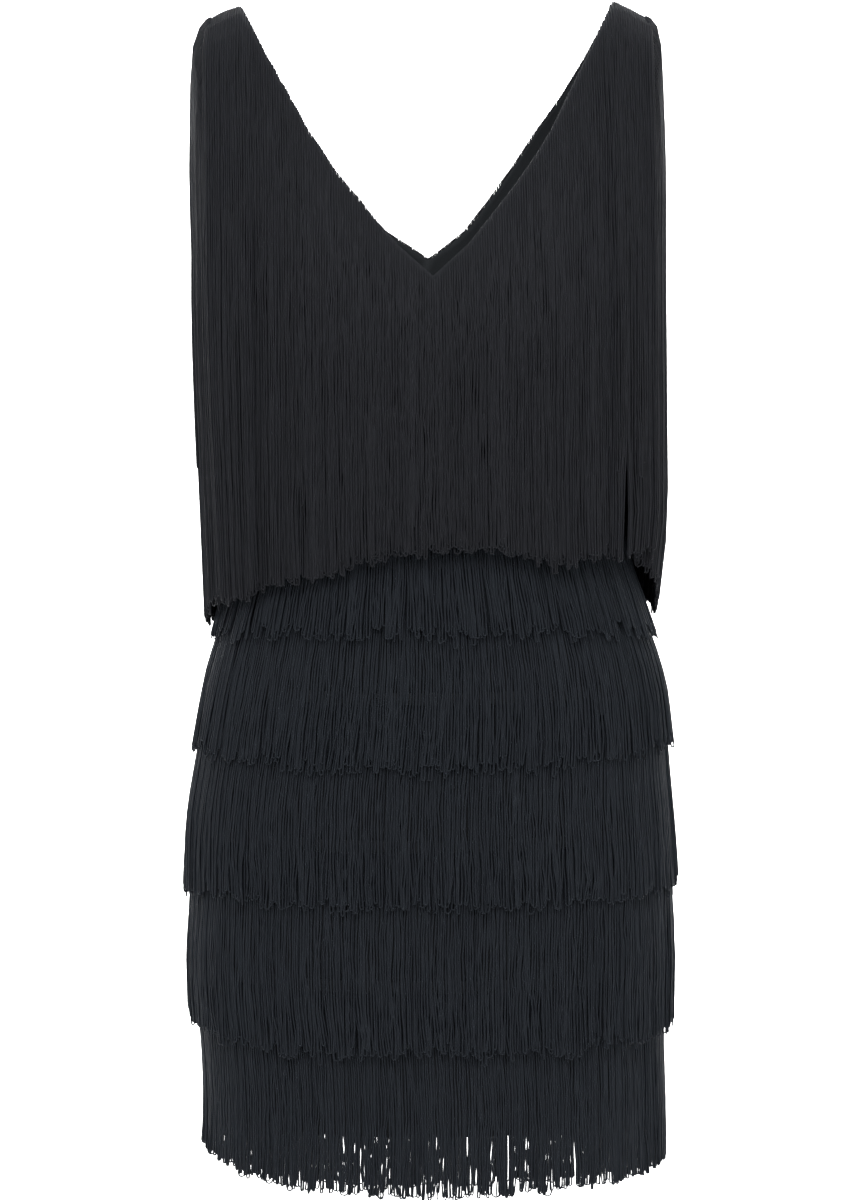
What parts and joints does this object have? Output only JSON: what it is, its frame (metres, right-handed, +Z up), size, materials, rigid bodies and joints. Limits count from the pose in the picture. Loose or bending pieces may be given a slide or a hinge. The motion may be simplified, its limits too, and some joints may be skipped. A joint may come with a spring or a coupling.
{
  "type": "fringe mini dress",
  "caption": "Sleeveless mini dress in hollow worn form, with a V neck front and back, rings of fringe round the skirt and long fringe hanging from the neckline and armholes.",
  "frame": {"origin": "where the dress is held: midway between the shoulders, at the height of the neck ends of the shoulder seams", "axes": "+Z up, the front faces -Y, +X towards the wearer's left"},
  "size_m": [0.3596, 0.2595, 0.8595],
  "materials": {
    "jersey": "matt black stretch jersey",
    "fringe_yarn": "black viscose chainette fringe with a soft sheen"
  },
  "bodies": {
    "root": {"front_panel": "jersey", "back_panel": "jersey", "skirt_fringe_1": "fringe_yarn", "skirt_fringe_2": "fringe_yarn", "skirt_fringe_3": "fringe_yarn", "skirt_fringe_4": "fringe_yarn", "skirt_fringe_5": "fringe_yarn", "front_yoke_fringe": "fringe_yarn", "back_yoke_fringe": "fringe_yarn", "left_shoulder_fringe": "fringe_yarn", "right_shoulder_fringe": "fringe_yarn"}
  },
  "joints": []
}
